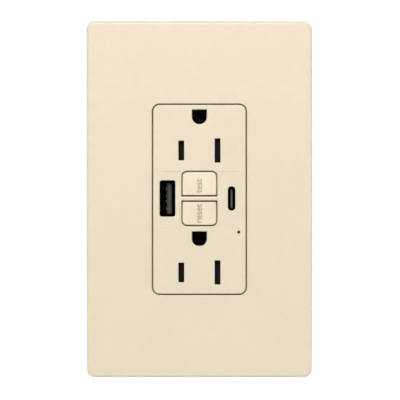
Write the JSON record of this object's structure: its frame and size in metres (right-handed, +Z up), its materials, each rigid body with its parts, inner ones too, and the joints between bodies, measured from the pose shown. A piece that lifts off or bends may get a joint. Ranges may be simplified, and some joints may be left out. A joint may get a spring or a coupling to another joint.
{
  "type": "gfci outlet",
  "caption": "Wall receptacle with ground-fault test and reset buttons, grounded outlets and USB-A and USB-C ports, in a screwless clip-on wall plate.",
  "frame": {"origin": "middle of the device on the wall surface, between the two mounting screws", "axes": "+X to the right seen from the room, +Y into the wall box, +Z up"},
  "size_m": [0.079, 0.0437, 0.125],
  "materials": {
    "cover_plastic": "ivory moulded thermoplastic, fine satin",
    "face_plastic": "ivory moulded nylon, satin",
    "button_plastic": "ivory moulded thermoplastic, satin",
    "subplate_plastic": "ivory moulded thermoplastic, plain",
    "body_plastic": "black moulded thermoplastic with a fine grain",
    "carrier_plastic": "dark grey moulded thermoplastic",
    "shutter_plastic": "near black slippery thermoplastic",
    "zinc_steel": "zinc plated pressed steel",
    "spring_steel": "drawn spring wire",
    "nickel_steel": "nickel plated turned steel",
    "port_steel": "black nickel plated drawn steel",
    "brass": "pressed brass",
    "green_steel": "green dyed plated steel",
    "copper_winding": "enamelled copper wire, wound",
    "tape_black": "moulded ring case",
    "wire_white": "white wire insulation",
    "board_laminate": "green glass fibre laminate with solder mask",
    "tongue_plastic": "dark grey heat resistant plastic",
    "bobbin_plastic": "natural nylon",
    "can_sleeve": "shrunk sleeve on aluminium can",
    "light_plastic": "smoky clear acrylic",
    "led_epoxy": "clear epoxy on white base"
  },
  "bodies": {
    "device": {"wall_plate_subplate": "subplate_plastic", "subplate_screws": "zinc_steel", "strap": "zinc_steel", "mounting_screws": "zinc_steel", "screw_retainers": "bobbin_plastic", "face_cover": "face_plastic", "middle_housing": "carrier_plastic", "rear_housing": "body_plastic", "housing_screws": "zinc_steel", "test_spring": "spring_steel", "reset_spring": "spring_steel", "solenoid_bobbin": "bobbin_plastic", "solenoid_coil": "copper_winding", "solenoid_frame": "zinc_steel", "plunger_spring": "spring_steel", "hot_bus": "brass", "neutral_bus": "brass", "ground_contacts": "brass", "main_board": "board_laminate", "sense_transformers": "tape_black", "supply_wires": "wire_white", "usb_board": "board_laminate", "usb_a_shell": "port_steel", "usb_a_tongue": "tongue_plastic", "usb_a_contacts": "brass", "usb_c_shell": "port_steel", "usb_c_tongue": "tongue_plastic", "usb_transformer": "tape_black", "usb_capacitors": "can_sleeve", "status_led": "led_epoxy", "light_pipe": "light_plastic", "shutter_trays": "carrier_plastic", "upper_shutter_spring": "spring_steel", "lower_shutter_spring": "spring_steel", "line_hot_terminal": "brass", "line_neutral_terminal": "brass", "load_hot_terminal": "brass", "load_neutral_terminal": "brass"},
    "cover": {"wall_plate_cover": "cover_plastic"},
    "test_key": {"test_button": "button_plastic"},
    "test_leaf": {"test_contact_blade": "brass"},
    "reset_key": {"reset_button": "button_plastic", "reset_pin": "nickel_steel"},
    "plunger": {"solenoid_plunger": "nickel_steel"},
    "lifter": {"contact_lifter": "carrier_plastic"},
    "latch": {"latch_plate": "nickel_steel"},
    "hot_arm": {"hot_contact_arm": "brass"},
    "neutral_arm": {"neutral_contact_arm": "brass"},
    "upper_gate": {"upper_shutter": "shutter_plastic"},
    "lower_gate": {"lower_shutter": "shutter_plastic"},
    "line_hot_screw_body": {"line_hot_screw": "brass"},
    "line_hot_clamp_body": {"line_hot_clamp": "brass"},
    "line_neutral_screw_body": {"line_neutral_screw": "nickel_steel"},
    "line_neutral_clamp_body": {"line_neutral_clamp": "zinc_steel"},
    "load_hot_screw_body": {"load_hot_screw": "brass"},
    "load_hot_clamp_body": {"load_hot_clamp": "brass"},
    "load_neutral_screw_body": {"load_neutral_screw": "nickel_steel"},
    "load_neutral_clamp_body": {"load_neutral_clamp": "zinc_steel"},
    "ground_screw_body": {"ground_screw": "green_steel"},
    "ground_clamp_body": {"ground_clamp": "zinc_steel"}
  },
  "joints": [
    {"name": "cover_pull_off", "type": "slide", "parent": "device", "child": "cover", "axis": [0, -1, 0], "range_m": [0, 0.025]},
    {"name": "test_press", "type": "slide", "parent": "device", "child": "test_key", "axis": [0, 1, 0], "range_m": [0, 0.001], "stiffness_N_per_m": 800, "springref_m": -0.0015, "deforming": ["test_spring"]},
    {"name": "test_blade_bend", "type": "hinge", "parent": "device", "child": "test_leaf", "pos_m": [-0.0039, 0.0004, 0.01229], "axis": [1, 0, 0], "range_deg": [0, 15]},
    {"name": "reset_press", "type": "slide", "parent": "device", "child": "reset_key", "axis": [0, 1, 0], "range_m": [0, 0.001], "stiffness_N_per_m": 900, "springref_m": -0.0015, "deforming": ["reset_spring"]},
    {"name": "plunger_slide", "type": "slide", "parent": "device", "child": "plunger", "axis": [0, 0, -1], "range_m": [0, 0.0012], "stiffness_N_per_m": 300, "springref_m": -0.002, "deforming": ["plunger_spring"]},
    {"name": "lifter_drop", "type": "slide", "parent": "device", "child": "lifter", "axis": [0, 1, 0], "range_m": [0, 0.00151]},
    {"name": "latch_slide", "type": "slide", "parent": "lifter", "child": "latch", "axis": [0, 0, -1], "range_m": [0, 0.00121]},
    {"name": "hot_arm_open", "type": "hinge", "parent": "device", "child": "hot_arm", "pos_m": [-0.0069, 0.0153, -0.024], "axis": [-1, 0, 0], "range_deg": [0, 4.05]},
    {"name": "neutral_arm_open", "type": "hinge", "parent": "device", "child": "neutral_arm", "pos_m": [0.0069, 0.0153, -0.024], "axis": [-1, 0, 0], "range_deg": [0, 4.05]},
    {"name": "upper_shutter_slide", "type": "slide", "parent": "device", "child": "upper_gate", "axis": [-1, 0, 0], "range_m": [0, 0.003], "stiffness_N_per_m": 60, "springref_m": -0.002, "deforming": ["upper_shutter_spring"]},
    {"name": "lower_shutter_slide", "type": "slide", "parent": "device", "child": "lower_gate", "axis": [-1, 0, 0], "range_m": [0, 0.003], "stiffness_N_per_m": 60, "springref_m": -0.002, "deforming": ["lower_shutter_spring"]},
    {"name": "line_hot_clamp_slide", "type": "slide", "parent": "device", "child": "line_hot_clamp_body", "axis": [1, 0, 0], "range_m": [0, 0.0024]},
    {"name": "line_hot_screw_turn", "type": "hinge", "parent": "device", "child": "line_hot_screw_body", "pos_m": [-0.019, 0.02, -0.021], "axis": [-1, 0, 0], "range_deg": [0, 1090]},
    {"name": "line_neutral_clamp_slide", "type": "slide", "parent": "device", "child": "line_neutral_clamp_body", "axis": [-1, 0, 0], "range_m": [0, 0.0024]},
    {"name": "line_neutral_screw_turn", "type": "hinge", "parent": "device", "child": "line_neutral_screw_body", "pos_m": [0.019, 0.02, -0.021], "axis": [1, 0, 0], "range_deg": [0, 1090]},
    {"name": "load_hot_clamp_slide", "type": "slide", "parent": "device", "child": "load_hot_clamp_body", "axis": [1, 0, 0], "range_m": [0, 0.0024]},
    {"name": "load_hot_screw_turn", "type": "hinge", "parent": "device", "child": "load_hot_screw_body", "pos_m": [-0.019, 0.02, 0.021], "axis": [-1, 0, 0], "range_deg": [0, 1090]},
    {"name": "load_neutral_clamp_slide", "type": "slide", "parent": "device", "child": "load_neutral_clamp_body", "axis": [-1, 0, 0], "range_m": [0, 0.0024]},
    {"name": "load_neutral_screw_turn", "type": "hinge", "parent": "device", "child": "load_neutral_screw_body", "pos_m": [0.019, 0.02, 0.021], "axis": [1, 0, 0], "range_deg": [0, 1090]},
    {"name": "ground_clamp_slide", "type": "slide", "parent": "device", "child": "ground_clamp_body", "axis": [0, 0, 1], "range_m": [0, 0.0024]},
    {"name": "ground_screw_turn", "type": "hinge", "parent": "device", "child": "ground_screw_body", "pos_m": [0.011, 0.006, -0.0406], "axis": [0, 0, -1], "range_deg": [0, 1090]}
  ],
  "couplings": [
    {"joint": "test_blade_bend", "follows": "test_press", "rad_per_m": 260},
    {"joint": "lifter_drop", "follows": "plunger_slide", "ratio": 1.25},
    {"joint": "latch_slide", "follows": "plunger_slide", "ratio": 1},
    {"joint": "hot_arm_open", "follows": "plunger_slide", "rad_per_m": 58.333},
    {"joint": "neutral_arm_open", "follows": "plunger_slide", "rad_per_m": 58.333},
    {"joint": "line_hot_screw_turn", "follows": "line_hot_clamp_slide", "rad_per_m": 7913.4},
    {"joint": "line_neutral_screw_turn", "follows": "line_neutral_clamp_slide", "rad_per_m": 7913.4},
    {"joint": "load_hot_screw_turn", "follows": "load_hot_clamp_slide", "rad_per_m": 7913.4},
    {"joint": "load_neutral_screw_turn", "follows": "load_neutral_clamp_slide", "rad_per_m": 7913.4},
    {"joint": "ground_screw_turn", "follows": "ground_clamp_slide", "rad_per_m": 7913.4}
  ]
}
